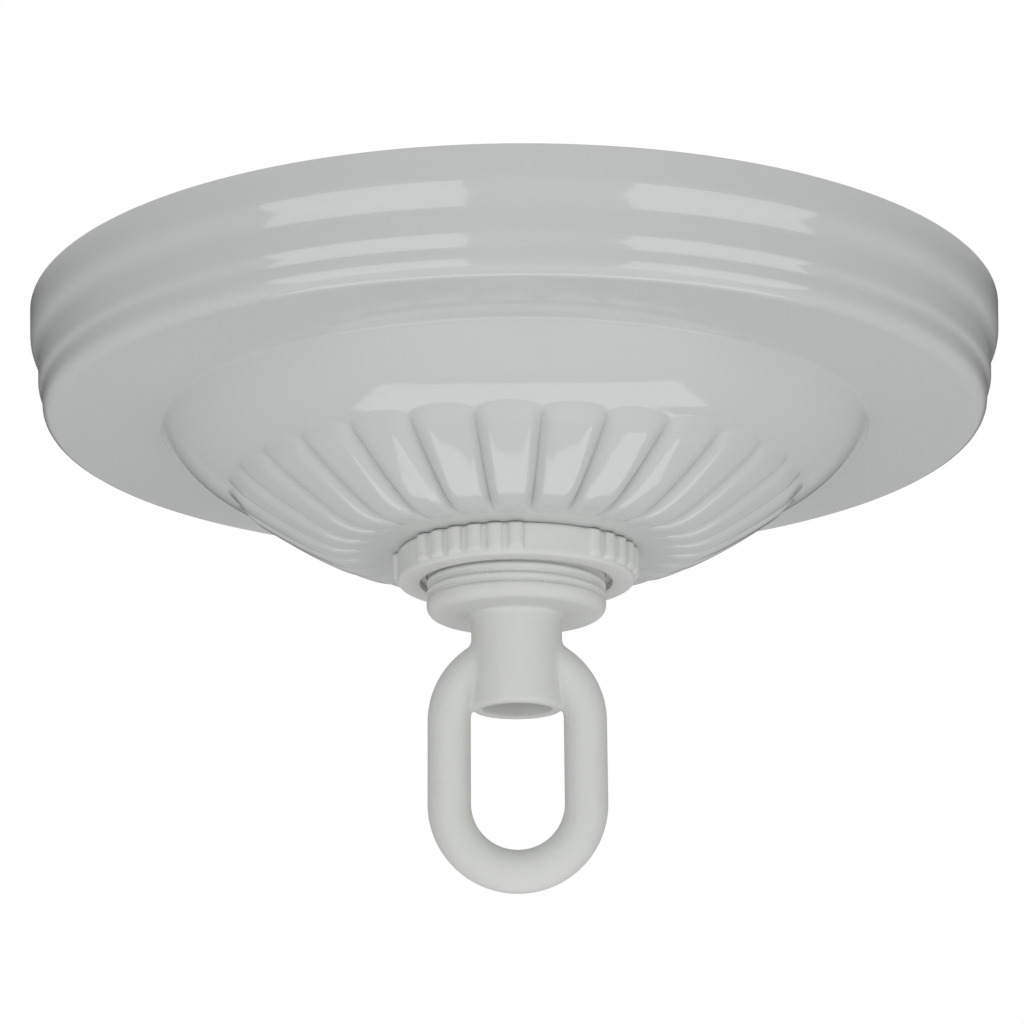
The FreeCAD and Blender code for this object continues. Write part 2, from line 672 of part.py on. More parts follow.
def box_screws():
    right = box_screw("right_screw", "Sizes.screw_spacing / 2")
    left = box_screw("left_screw", "-Sizes.screw_spacing / 2")
    return group("box_screws", [right, left])


def ground_screw():
    """A hexagon washer-headed screw with a driver slot, up through the strap's tapped hole."""
    x = "Sizes.ground_place"
    washer_height = "Sizes.ground_head_height / 4"
    foot = f"{STRAP_FOOT_Z} - Sizes.ground_head_height"
    shank_radius = "Sizes.ground_diameter / 2"
    shank = solid("Cylinder", "ground_shank", Radius=shank_radius, Height="Sizes.ground_length",
                  Placement__Base__x=x, Placement__Base__z=STRAP_FOOT_Z)
    washer = solid("Cylinder", "ground_washer", Radius="Sizes.ground_head / 2", Height=washer_height,
                   Placement__Base__x=x, Placement__Base__z=f"{STRAP_FOOT_Z} - {washer_height}")
    hexagon = solid("Prism", "ground_hexagon", Circumradius="Sizes.ground_hex / 2 / cos(30 deg)",
                    Height="Sizes.ground_head_height", Placement__Base__x=x, Placement__Base__z=foot)
    hexagon.Polygon = 6
    head = boolean("Fuse", "ground_head", washer, hexagon)
    whole = boolean("Fuse", "ground_whole", shank, head)
    slot = driver_slot("ground", x, "Sizes.ground_head", foot)
    return boolean("Cut", "ground_screw", whole, slot)


# Build, check and write
PIECES = [
    canopy, collar_ring, hanging_loop, threaded_pipe,
    hex_locknuts, mounting_strap, box_screws, ground_screw,
]
SOLIDS_IN_NODE = {"hex_locknuts": 2, "box_screws": 2}

for piece in PIECES:
    piece()
doc.recompute()
for item in doc.Objects:
    if "Invalid" in item.State or "Error" in item.State:
        raise RuntimeError(f"{item.Label} failed: {item.State}")

shapes = {}
for piece in PIECES:
    node = piece.__name__
    shape = doc.getObjectsByLabel(node)[0].Shape
    if shape.isNull() or not shape.isValid():
        raise RuntimeError(f"{node} has no valid shape")
    if len(shape.Solids) != SOLIDS_IN_NODE.get(node, 1):
        raise RuntimeError(f"{node} has {len(shape.Solids)} solids")
    shapes[node] = shape

os.makedirs("parts", exist_ok=True)
for node, shape in shapes.items():
    shape.exportStep(f"parts/{node}.step")
    box = shape.BoundBox
    print(f"{node}: {shape.Volume:.1f} mm3, z {box.ZMin:.2f} to {box.ZMax:.2f}")
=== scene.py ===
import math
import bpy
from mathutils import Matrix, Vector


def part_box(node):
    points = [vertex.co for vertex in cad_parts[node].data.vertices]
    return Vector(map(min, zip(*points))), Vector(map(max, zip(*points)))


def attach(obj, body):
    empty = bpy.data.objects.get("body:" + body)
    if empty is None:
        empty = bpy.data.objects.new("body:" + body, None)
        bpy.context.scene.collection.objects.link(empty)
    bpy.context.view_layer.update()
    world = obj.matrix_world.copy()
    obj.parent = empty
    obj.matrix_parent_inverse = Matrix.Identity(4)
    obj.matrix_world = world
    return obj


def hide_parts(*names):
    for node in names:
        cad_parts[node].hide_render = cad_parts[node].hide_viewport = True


bl_info = {
    "name": "Ceiling Rose",
    "version": (1, 0, 0),
    "blender": (4, 5, 0),
    "location": "View3D > Sidebar > Ceiling Rose",
    "description": "Builds a hanging ceiling rose: fluted canopy, screw ring, chain loop and fixings",
    "category": "Object",
}

import bmesh
import bpy
import numpy as np
from mathutils import Matrix, Vector

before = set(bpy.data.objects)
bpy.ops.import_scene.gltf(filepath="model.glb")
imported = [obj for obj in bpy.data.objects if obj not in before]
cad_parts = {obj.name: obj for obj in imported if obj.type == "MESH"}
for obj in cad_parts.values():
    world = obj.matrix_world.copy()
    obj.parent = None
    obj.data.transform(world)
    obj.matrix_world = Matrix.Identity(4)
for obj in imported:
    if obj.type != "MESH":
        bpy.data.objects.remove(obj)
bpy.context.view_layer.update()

MM = 0.001
FULL_TURN = 2 * math.pi
FRONT = -math.pi / 2
WHITE = (1, 1, 1)
SEAM_GAP = 1e-6


# Settings that a user would change

def length(name, millimetres, description):
    return bpy.props.FloatProperty(
        name=name, description=description, default=millimetres * MM, precision=5, unit="LENGTH")


def angle(name, degrees, description):
    return bpy.props.FloatProperty(
        name=name, description=description, default=math.radians(degrees), subtype="ANGLE")


def count(name, number, description):
    return bpy.props.IntProperty(name=name, description=description, default=number, min=1)


def colour(name, value, description):
    return bpy.props.FloatVectorProperty(
        name=name, description=description, default=value, size=3, min=0, max=1, subtype="COLOR")


def level(name, value, description):
    return bpy.props.FloatProperty(name=name, description=description, default=value, min=0)


def group(kind, name, description):
    return bpy.props.PointerProperty(type=kind, name=name, description=description)


class CanopySizes(bpy.types.PropertyGroup):
    diameter: length("Diameter", 133.35, "Outside diameter at the ceiling")
    gauge: length("Gauge", 0.8, "Thickness of the stamped sheet")
    band_height: length("Band height", 15.4, "Height of the beaded side band")
    band_draft: angle("Band draft", 2.2, "Lean of the band's walls from the vertical")
    step_lean: angle("Step lean", 30, "Greatest lean in the smooth steps between the beads")
    upper_step: length("Upper step", 5.9, "Ceiling to the middle of the upper step")
    upper_step_height: length("Upper step height", 4.2, "Height of the upper step")
    step_spacing: length("Step spacing", 5.5, "Middle of the upper step to the middle of the lower one")
    lower_step_height: length("Lower step height", 2.2, "Height of the lower step")
    band_corner: length("Band corner", 2.1, "Outside radius of the corner under the band")
    bowl_diameter: length("Bowl diameter", 98.4, "Diameter where the bowl leaves the flat ring")
    bowl_depth: length("Bowl depth", 16.7, "Depth of the bowl below the flat ring")
    root_radius: length("Root radius", 1.0, "Radius where the bowl leaves the flat ring")
    shoulder_radius: length("Shoulder radius", 20.2, "Radius of the smooth shoulder above the lobes")
    shoulder_start: angle("Shoulder start", 35, "Lean of the shoulder from the vertical at its top")
    shoulder_end: angle("Shoulder end", 67.5, "Lean of the shoulder from the vertical at its foot")
    lobes: count("Lobes", 28, "Lobes round the bowl")
    lobe_height: length("Lobe height", 1.1, "How far a lobe stands out of its valleys")
    lobe_arch: length("Lobe arch", 2.4, "Length of the arched outline of a lobe's tip")
    first_valley: angle("First valley", 5.1, "Angle from the front to the first valley")
    seat_diameter: length("Seat diameter", 40, "Flat seat for the ring")
    hole_diameter: length("Hole diameter", 28.6, "Centre hole")


class RingSizes(bpy.types.PropertyGroup):
    bore: length("Bore", 24.5, "Diameter of the tapped hole")
    diameter: length("Diameter", 32.3, "Diameter of the wall between the ribs")
    edge: length("Edge", 0.55, "Rounding of the outer edges")
    relief_diameter: length("Relief diameter", 26.2, "Diameter of the relief in the lower face")
    relief_depth: length("Relief depth", 1, "Depth of that relief")
    groups: count("Groups", 4, "Groups of ribs on the wall")
    ribs: count("Ribs", 6, "Ribs in a group")
    rib_width: length("Rib width", 2.1, "Width of a rounded rib")
    rib_height: length("Rib height", 0.7, "How far a rib stands out of the wall")
    rib_pitch: angle("Rib pitch", 10, "Angle between ribs")
    first_rib: angle("First rib", -50, "Angle from the front to the first rib")


class LoopSizes(bpy.types.PropertyGroup):
    thread_diameter: length("Thread diameter", 24.4, "Outside diameter of the collar's thread")
    thread_pitch: length("Thread pitch", 1.411, "Distance between turns of the collar's thread")
    thread_depth: length("Thread depth", 0.6, "Depth of the painted thread")
    thread_start: angle("Thread start", 65, "Turn of the thread about its axis")
    collar_foot: length("Collar foot", -41.1, "Height of the collar's lower face")
    collar_round: length("Collar round", 1.5, "Radius of the collar's lower edge")
    plain_foot: length("Plain foot", 1.8, "Plain wall below the thread")
    neck_diameter: length("Neck diameter", 12.3, "Outside diameter of the neck")
    neck_length: length("Neck length", 13, "Length of the neck below the collar")
    wire_way: length("Wire way", 9.4, "Bore of the neck")
    pipe_socket: length("Pipe socket", 14.3, "Depth of the tapped hole for the pipe")
    pipe_diameter: length("Pipe diameter", 10.2, "Diameter of that hole")
    link_width: length("Link width", 24.1, "Width across the link")
    link_rod: length("Link rod", 5.8, "Thickness of the link's rod")
    link_straight: length("Link straight", 11.2, "Length of the link's straight sides")
    link_drop: length("Link drop", 14.4, "Collar to the middle of the upper bend")
    cast_blend: length("Cast blend", 0.7, "Softness of the inner corners of the casting")


class FixingSizes(bpy.types.PropertyGroup):
    pipe_bore: length("Pipe bore", 7.6, "Bore of the threaded pipe")
    pipe_pitch: length("Pipe pitch", 0.941, "Distance between turns of the pipe's thread")
    screw_pitch: length("Screw pitch", 0.794, "Distance between turns of the screws' threads")
    thread_depth: length("Thread depth", 0.4, "Depth of these threads")
    screw_spacing: length("Screw spacing", 88.9, "Distance between the box screws")
    screw_diameter: length("Screw diameter", 4.16, "Diameter of the box screws")
    screw_neck: length("Screw neck", 3.6, "Diameter of the plain neck under the head")
    head_diameter: length("Head diameter", 8.2, "Diameter of a box screw's head")
    head_height: length("Head height", 2.6, "Height of a box screw's head")
    ground_place: length("Ground place", 21, "Ground screw to the middle")
    ground_diameter: length("Ground diameter", 4.8, "Diameter of the ground screw")
    ground_washer: length("Ground washer", 9.6, "Diameter of the ground screw's washer face")
    ground_flats: length("Ground flats", 7.9, "Across the flats of the ground screw's head")
    ground_head: length("Ground head", 3.4, "Height of the ground screw's head")
    washer_height: length("Washer height", 0.85, "Thickness of its washer face")
    drive_slot: length("Drive slot", 1.2, "Width and depth of the driver slots")


class Finishes(bpy.types.PropertyGroup):
    enamel: colour("Enamel", (0.598, 0.617, 0.609), "Gloss enamel of the canopy")
    cast_paint: colour("Cast paint", (0.695, 0.705, 0.68), "Satin paint of the ring and loop")
    zinc: colour("Zinc", (0.62, 0.63, 0.65), "Zinc plate of the fixings")
    green: colour("Green", (0.05, 0.24, 0.09), "Dyed plate of the ground screw")


class StageSettings(bpy.types.PropertyGroup):
    aim: bpy.props.FloatVectorProperty(
        name="Aim", description="Point in the middle of the picture", size=3,
        default=(-0.0005, 0, -0.0263), subtype="XYZ", unit="LENGTH", precision=5)
    distance: length("Distance", 406.1, "Camera to the aim")
    rise: angle("Rise", 15.84, "How far the camera looks up")
    roll: angle("Roll", -0.43, "Turn of the camera about its own line of sight")
    lens: bpy.props.FloatProperty(
        name="Lens", description="Focal length", default=104.19, unit="CAMERA")
    floor_height: length("Floor height", -750, "Height of the floor below the ceiling plane")
    front_level: level("Front level", 0.59, "Light of the room in front of the object")
    back_level: level("Back level", 0.585, "Light of the room behind the object")
    back_drop: level("Back drop", 0.47, "How much less light comes from behind, above the horizon")
    high_level: level("High level", 1.0, "Extra light from overhead behind the object")
    side_drop: level("Side drop", 0.26, "How much less light comes from the sides of the room")
    softbox_level: level("Softbox level", 1.5, "Brightness of the two softboxes in front")
    table_level: level("Table level", 1.25, "Brightness of the lit table below")


class CeilingRose(bpy.types.PropertyGroup):
    canopy: group(CanopySizes, "Canopy", "Stamped canopy")
    ring: group(RingSizes, "Ring", "Screw collar ring")
    loop: group(LoopSizes, "Loop", "Cast chain loop")
    fixings: group(FixingSizes, "Fixings", "Pipe and screws")
    finishes: group(Finishes, "Finishes", "Colours")
    stage: group(StageSettings, "Stage", "Camera and light")


def settings():
    return bpy.context.scene.ceiling_rose


# Node trees

class Wire:
    """An output socket that takes part in arithmetic."""

    def __init__(self, graph, socket):
        self.graph = graph
        self.socket = socket

    def __add__(self, other):
        return self.graph.maths("ADD", self, other)

    def __sub__(self, other):
        return self.graph.maths("SUBTRACT", self, other)

    def __rsub__(self, other):
        return self.graph.maths("SUBTRACT", other, self)

    def __mul__(self, other):
        return self.graph.maths("MULTIPLY", self, other)

    def __truediv__(self, other):
        return self.graph.maths("DIVIDE", self, other)

    def __pow__(self, other):
        return self.graph.maths("POWER", self, other)

    def __abs__(self):
        return self.graph.maths("ABSOLUTE", self)

    def __rtruediv__(self, other):
        return self.graph.maths("DIVIDE", other, self)

    __radd__ = __add__
    __rmul__ = __mul__


class Graph:
    """Adds nodes to one tree. The inputs of a node take plain values or wires."""

    def __init__(self, tree):
        self.tree = tree

    def add(self, kind, settings=None, inputs=None, out=0):
        node = self.tree.nodes.new(kind)
        for name, value in (settings or {}).items():
            setattr(node, name, value)
        for name, value in (inputs or {}).items():
            if isinstance(value, Wire):
                self.tree.links.new(value.socket, node.inputs[name])
            else:
                node.inputs[name].default_value = value
        return Wire(self, node.outputs[out])

    def maths(self, operation, *values):
        return self.add("ShaderNodeMath", {"operation": operation}, dict(enumerate(values)))

    def limited(self, value):
        return self.add("ShaderNodeClamp", None, {"Value": value})


class ShapeTree(Graph):
    """A geometry tree with named sizes, which ends as one mesh with one material."""

    def __init__(self, name):
        super().__init__(bpy.data.node_groups.new(name, "GeometryNodeTree"))
        for way in ("INPUT", "OUTPUT"):
            self.tree.interface.new_socket("Geometry", in_out=way, socket_type="NodeSocketGeometry")
        self.entry = self.tree.nodes.new("NodeGroupInput")
        self.values = {}

    def given(self):
        return Wire(self, self.entry.outputs["Geometry"])

    def size(self, name, value, kind="NodeSocketFloat"):
        item = self.tree.interface.new_socket(name, in_out="INPUT", socket_type=kind)
        self.values[item.identifier] = value
        return Wire(self, self.entry.outputs[name])

    def attribute(self, name, data_type="FLOAT"):
        return self.add(
            "GeometryNodeInputNamedAttribute", {"data_type": data_type}, {"Name": name}, "Attribute")

    def keep(self, geometry, name, value):
        return self.add(
            "GeometryNodeStoreNamedAttribute", {"data_type": "FLOAT", "domain": "POINT"},
            {"Geometry": geometry, "Name": name, "Value": value})

    def apply(self, piece, geometry, material):
        """Finish the tree, run it on a piece and leave the result as a plain mesh."""
        whole = self.add("GeometryNodeRealizeInstances", None, {"Geometry": geometry})
        painted = self.add("GeometryNodeSetMaterial", None, {"Geometry": whole, "Material": material})
        way_out = self.tree.nodes.new("NodeGroupOutput")
        self.tree.links.new(painted.socket, way_out.inputs["Geometry"])
        modifier = piece.modifiers.new(self.tree.name, "NODES")
        modifier.node_group = self.tree
        for identifier, value in self.values.items():
            modifier[identifier] = value
        settle(piece)


class Turning:
    """A profile turned about Z on a grid with a row for each point of the profile."""

    def __init__(self, tree, columns):
        self.tree = tree
        self.profile = tree.given()
        rows = tree.add(
            "GeometryNodeAttributeDomainSize", {"component": "MESH"},
            {"Geometry": self.profile}, "Point Count")
        self.grid = tree.add(
            "GeometryNodeMeshGrid", None,
            {"Size X": 1.0, "Size Y": 1.0, "Vertices X": columns + 1, "Vertices Y": rows}, "Mesh")
        self.place = tree.add("GeometryNodeInputPosition")
        self.turn = self.part(self.place, "X") + 0.5
        self.row = tree.maths("ROUND", (self.part(self.place, "Y") + 0.5) * (rows - 1))
        self.spot = self.of_row(self.place, "FLOAT_VECTOR")

    def part(self, vector, axis):
        return self.tree.add("ShaderNodeSeparateXYZ", None, {"Vector": vector}, axis)

    def of_row(self, value, data_type="FLOAT"):
        return self.tree.add(
            "GeometryNodeSampleIndex", {"data_type": data_type, "domain": "POINT"},
            {"Geometry": self.profile, "Value": value, "Index": self.row}, "Value")

    def shaped(self, start, rise, geometry=None):
        """The turned mesh, moved by a rise along each row's own normal and closed at its seam."""
        tree = self.tree
        normal = self.of_row(tree.attribute("normal", "FLOAT_VECTOR"), "FLOAT_VECTOR")
        radius = self.part(self.spot, "X") + self.part(normal, "X") * rise
        height = self.part(self.spot, "Z") + self.part(normal, "Z") * rise
        turn = self.turn * FULL_TURN + start
        place = tree.add("ShaderNodeCombineXYZ", None, {
            "X": radius * tree.maths("COSINE", turn),
            "Y": radius * tree.maths("SINE", turn),
            "Z": height,
        })
        moved = tree.add(
            "GeometryNodeSetPosition", None, {"Geometry": geometry or self.grid, "Position": place})
        return tree.add("GeometryNodeMergeByDistance", None, {"Geometry": moved, "Distance": SEAM_GAP})


# Mesh helpers

CREASE = math.radians(50)
EDGE_STEPS = 3
ROUND_STEPS = 5


def in_scene(name, data):
    item = bpy.data.objects.new(name, data)
    bpy.context.scene.collection.objects.link(item)
    return item


def settle(piece):
    """Turn the result of a piece's modifiers into its own plain mesh, closed and facing outwards."""
    bpy.context.view_layer.update()
    depsgraph = bpy.context.evaluated_depsgraph_get()
    made = bpy.data.meshes.new_from_object(
        piece.evaluated_get(depsgraph), preserve_all_data_layers=True, depsgraph=depsgraph)
    piece.modifiers.clear()
    first = piece.data
    piece.data = made
    bpy.data.meshes.remove(first)
    made.name = piece.name
    if not made.polygons:
        raise RuntimeError(f"{piece.name} came out empty")
    work = bmesh.new()
    work.from_mesh(made)
    bmesh.ops.recalc_face_normals(work, faces=work.faces)
    open_edges = sum(not edge.is_manifold for edge in work.edges)
    work.to_mesh(made)
    work.free()
    if open_edges:
        raise RuntimeError(f"{piece.name} has {open_edges} open edges")
    smooth(made)


def smooth(mesh):
    mesh.shade_smooth()
    mesh.set_sharp_from_angle(angle=CREASE)


def profile_piece(name, rows, **marks):
    """A piece that starts as a profile of (radius, height), with a value or vector for each row.

    The profile is closed unless it starts on the axis.
    """
    joined = 1 if rows[0][0] else 0
    rows = rows + rows[:joined]
    mesh = bpy.data.meshes.new(name)
    edges = [(index, index + 1) for index in range(len(rows) - 1)]
    mesh.from_pydata([(radius, 0, height) for radius, height in rows], edges, [])
    for mark, values in marks.items():
        values = values + values[:joined]
        if isinstance(values[0], tuple):
            layer = mesh.attributes.new(mark, "FLOAT_VECTOR", "POINT")
            layer.data.foreach_set("vector", [part for value in values for part in value])
        else:
            layer = mesh.attributes.new(mark, "FLOAT", "POINT")
            layer.data.foreach_set("value", values)
    return in_scene(name, mesh)


def arc(centre, radius, start, end, steps):
    """Points on part of a circle in the profile plane, by angles in degrees."""
    points = []
    for step in range(steps + 1):
        turn = math.radians(start + (end - start) * step / steps)
        points.append((centre[0] + radius * math.cos(turn), centre[1] + radius * math.sin(turn)))
    return points


def seat_piece(piece, node, body):
    """Let a finished piece stand for a node and move with its body."""
    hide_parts(node)
    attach(piece, body)


# Finishes

# Places of the colour sockets on a mix node, which share their names with other sockets
MIX_FIRST = 6
MIX_SECOND = 7
MIX_RESULT = 2
# Share and tone of the painted shade that darkens the bowl's valleys
VALLEY_SHADE_SHARE = 0.6
VALLEY_SHADE_TONE = 0.9
FINE_GRAIN_SHARE = 0.5
SCRATCH_SCALE = (60.0, 1600.0, 1600.0)


def tone(value, share):
    return tuple(part * share for part in value) + (1,)


class Finish(Graph):
    """A material on one principled shader."""

    def __init__(self, name):
        self.material = bpy.data.materials.new(name)
        self.material.use_nodes = True
        super().__init__(self.material.node_tree)
        self.tree.nodes.clear()
        self.object = self.add("ShaderNodeTexCoord", out="Object")

    def noise(self, scale, detail=2.0, vector=None):
        return self.add(
            "ShaderNodeTexNoise", None,
            {"Vector": vector or self.object, "Scale": scale, "Detail": detail}, "Fac")

    def mixed(self, share, first, second):
        colours = {"Factor": share, MIX_FIRST: first, MIX_SECOND: second}
        return self.add("ShaderNodeMix", {"data_type": "RGBA"}, colours, MIX_RESULT)

    def mottled(self, base, pattern, dark, pale):
        """A base colour that goes from a darker to a paler share of itself with a pattern."""
        return self.mixed(pattern, tone(base, dark), tone(base, pale))

    def uneven(self, pattern, least, spread):
        """A value that grows from its least by a spread with a pattern."""
        return least + spread * pattern

    def bump(self, height, strength, distance):
        return self.add(
            "ShaderNodeBump", None, {"Height": height, "Strength": strength, "Distance": distance})

    def surface(self, **inputs):
        named = {name.replace("_", " "): value for name, value in inputs.items()}
        shader = self.add("ShaderNodeBsdfPrincipled", None, named)
        way_out = self.tree.nodes.new("ShaderNodeOutputMaterial")
        self.tree.links.new(shader.socket, way_out.inputs["Surface"])
        return self.material


def enamel(finish):
    """Gloss enamel on stamped steel: a faint orange peel, with painted shade that darkens the valleys."""
    base = settings().finishes.enamel
    cloud = finish.noise(scale=60.0, detail=3.0)
    # The valley mark carries painted shade: the colour goes darker the deeper a point lies in a lobe's
    # valley
    valley = finish.add("ShaderNodeAttribute", {"attribute_name": "valley"}, out="Fac")
    clean = finish.mottled(base, cloud, dark=0.98, pale=1.02)
    peel = finish.noise(scale=900.0, detail=1.0)
    return finish.surface(
        Base_Color=finish.mixed(valley * VALLEY_SHADE_SHARE, clean, tone(base, VALLEY_SHADE_TONE)),
        Roughness=finish.uneven(finish.noise(scale=220.0), least=0.05, spread=0.06),
        IOR=1.6,
        Normal=finish.bump(peel, strength=0.06, distance=0.03 * MM),
    )


def cast_paint(finish):
    """Satin paint over a die casting, with a soft grain and slightly uneven gloss."""
    base = settings().finishes.cast_paint
    cloud = finish.noise(scale=160.0, detail=3.0)
    grain = finish.noise(scale=1500.0) * FINE_GRAIN_SHARE + finish.noise(scale=380.0)
    return finish.surface(
        Base_Color=finish.mottled(base, cloud, dark=0.97, pale=1.03),
        Roughness=finish.uneven(finish.noise(scale=500.0), least=0.5, spread=0.16),
        Specular_IOR_Level=0.3,
        Normal=finish.bump(grain, strength=0.6, distance=0.12 * MM),
    )


def zinc_plate(finish):
    """Bright zinc on steel, with a fine lengthwise scratch and dull patches."""
    base = settings().finishes.zinc
    stretched = finish.add(
        "ShaderNodeMapping", None, {"Vector": finish.object, "Scale": SCRATCH_SCALE})
    scratch = finish.noise(scale=1.0, detail=4.0, vector=stretched)
    patch = finish.noise(scale=130.0, detail=3.0)
    return finish.surface(
        Base_Color=finish.mottled(base, patch, dark=0.88, pale=1.05),
        Metallic=1.0,
        Roughness=finish.uneven(patch, least=0.26, spread=0.2),
        Normal=finish.bump(scratch, strength=0.15, distance=0.03 * MM),
    )


def green_dye(finish):
    """Green dyed plate, thinner and brighter in places."""
    base = settings().finishes.green
    patch = finish.noise(scale=300.0, detail=3.0)
    return finish.surface(
        Base_Color=finish.mottled(base, patch, dark=0.8, pale=1.25),
        Metallic=0.7,
        Roughness=finish.uneven(patch, least=0.28, spread=0.16),
        Normal=finish.bump(finish.noise(scale=1800.0), strength=0.15, distance=0.03 * MM),
    )


FINISH_OF_SLOT = {
    "canopy_enamel": enamel,
    "cast_paint": cast_paint,
    "zinc_plate": zinc_plate,
    "green_dye": green_dye,
}


def finish_of(slot):
    """The finish for a slot, made when it is first asked for."""
    name = f"{slot}_finish"
    return bpy.data.materials.get(name) or FINISH_OF_SLOT[slot](Finish(name))


# Canopy

RIM_ROUND = 0.2 * MM
# Pulls at the two ends of the valleys' curve, as shares of its span
VALLEY_START_PULL = 0.2
VALLEY_END_PULL = 0.3
# Stages of a lobe along that curve, as shares of its run
LOBE_TIP = 0.22
LOBE_GROWTH = 0.4
LOBE_FADE = 0.6
# Share of a lobe's height that its tip has, and the power that delays its fade
LOBE_TIP_HEIGHT = 0.6
FADE_DELAY = 1.8
# Power of the curve across a lobe, where 2 is a parabola
LOBE_FLATNESS = 4.5
NARROWEST_ARCH = 0.02
# Rows and columns of the mesh
LOBE_COLUMNS = 20
BAND_STEPS = 7
SHOULDER_STEPS = 14
BOWL_ROWS = 52
INNER_BOWL_ROWS = 20
ROW_CROWDING = 1.35


def band_points(sizes, inset):
    """One side of the band, down to the flat ring: leaning walls, two smooth steps and a corner."""
    draft = sizes.band_draft
    lean = sizes.step_lean
    draft_degrees = math.degrees(draft)
    lean_degrees = math.degrees(lean)
    outward = Vector((math.cos(draft), -math.sin(draft)))
    down = Vector((-math.sin(draft), -math.cos(draft)))
    steepest = Vector((math.cos(lean), -math.sin(lean)))
    corner = sizes.band_corner
    place = Vector((sizes.diameter / 2, 0))
    if inset:
        points = [(place.x - inset / math.cos(draft), 0)]
    else:
        points = arc((place.x - RIM_ROUND, -RIM_ROUND), RIM_ROUND, 90, -draft_degrees, EDGE_STEPS)
    upper = -sizes.upper_step
    lower = upper - sizes.step_spacing
    for middle, height in ((upper, sizes.upper_step_height), (lower, sizes.lower_step_height)):
        top = place + down * ((place.y - middle - height / 2) / math.cos(draft))
        radius = height / 2 / (math.sin(lean) - math.sin(draft))
        bulge = top - outward * radius
        hollow = bulge + steepest * 2 * radius
        place = hollow - outward * radius
        points += arc(bulge, radius - inset, -draft_degrees, -lean_degrees, BAND_STEPS)
        points += arc(hollow, radius + inset, 180 - lean_degrees, 180 - draft_degrees, BAND_STEPS)[1:]
    inside = place - outward * corner
    turn = inside + down * ((inside.y + sizes.band_height - corner) / math.cos(draft))
    return points + arc(turn, corner - inset, -draft_degrees, -90, BAND_STEPS)


def shoulder_points(sizes, inset):
    """One side of the bowl's root and its smooth shoulder."""
    root = sizes.root_radius
    start = math.degrees(sizes.shoulder_start)
    root_centre = (sizes.bowl_diameter / 2, -sizes.band_height - root)
    end = math.degrees(sizes.shoulder_end)
    edge = arc(root_centre, root, 90, 180 - start, 1)[-1]
    radius = sizes.shoulder_radius
    centre = (
        edge[0] - radius * math.cos(sizes.shoulder_start),
        edge[1] + radius * math.sin(sizes.shoulder_start),
    )
    points = arc(root_centre, root + inset, 90, 180 - start, ROUND_STEPS)
    return points + arc(centre, radius - inset, -start, -end, SHOULDER_STEPS)[1:]


def bowl_points(sizes, steps):
    """The line of the valleys on the outer side: places, normals, arc lengths and shares of its run."""
    top = Vector(shoulder_points(sizes, 0)[-1])
    slope = Vector((-math.sin(sizes.shoulder_end), -math.cos(sizes.shoulder_end)))
    seat = Vector((sizes.seat_diameter / 2, -sizes.band_height - sizes.bowl_depth))
    span = (top - seat).length
    start_pole = top + slope * VALLEY_START_PULL * span
    end_pole = seat + Vector((VALLEY_END_PULL * span, 0))
    poles = [top, start_pole, end_pole, seat]
    found = []
    run = 0
    before = top
    for step in range(1, steps + 1):
        share = (step / steps) ** ROW_CROWDING
        rest = 1 - share
        weights = (rest ** 3, 3 * rest * rest * share, 3 * rest * share * share, share ** 3)
        place = sum((pole * weight for pole, weight in zip(poles, weights)), Vector((0, 0)))
        pulls = (rest * rest, 2 * rest * share, share * share)
        tangent = sum(((b - a) * pull for a, b, pull in zip(poles, poles[1:], pulls)), Vector((0, 0)))
        normal = Vector((-tangent.y, tangent.x)).normalized()
        run += (place - before).length
        before = place
        found.append((place, normal, run, share))
    return found


def eased(share):
    """A smooth way from 0 to 1."""
    return share * share * (3 - 2 * share)


def crest_height(sizes, share):
    """Height of a lobe along the bowl: a quick round tip, a slow swell, then it dies away at the seat."""
    tip = min(1, share / LOBE_TIP)
    swell = 1 - (1 - min(1, share / LOBE_GROWTH)) ** 2
    spent = max(0, (share - LOBE_FADE) / (1 - LOBE_FADE))
    rise = LOBE_TIP_HEIGHT * eased(tip) + (1 - LOBE_TIP_HEIGHT) * swell
    return sizes.lobe_height * rise * eased(1 - spent ** FADE_DELAY)


def canopy_rows(sizes):
    """All rows of the closed profile: place, normal, height of a lobe and share of its width."""
    rows = []

    def smooth_side(points):
        rows.extend((tuple(point), (0.0, 0.0, 0.0), 0.0, 1.0) for point in points)

    def lobed_side(inset, steps):
        found = []
        for place, normal, run, share in bowl_points(sizes, steps):
            left = 1 - min(1, run / sizes.lobe_arch)
            arch = max(NARROWEST_ARCH, math.sqrt(1 - left * left))
            spot = place - normal * inset
            found.append((tuple(spot), (normal.x, 0.0, normal.y), crest_height(sizes, share), arch))
        return found

    hole = sizes.hole_diameter / 2
    seat_height = -sizes.band_height - sizes.bowl_depth
    smooth_side(band_points(sizes, 0))
    smooth_side(shoulder_points(sizes, 0))
    rows.extend(lobed_side(0, BOWL_ROWS))
    smooth_side([(hole, seat_height), (hole, seat_height + sizes.gauge)])
    rows.extend(reversed(lobed_side(sizes.gauge, INNER_BOWL_ROWS)))
    smooth_side(reversed(shoulder_points(sizes, sizes.gauge)))
    smooth_side(reversed(band_points(sizes, sizes.gauge)))
    return rows


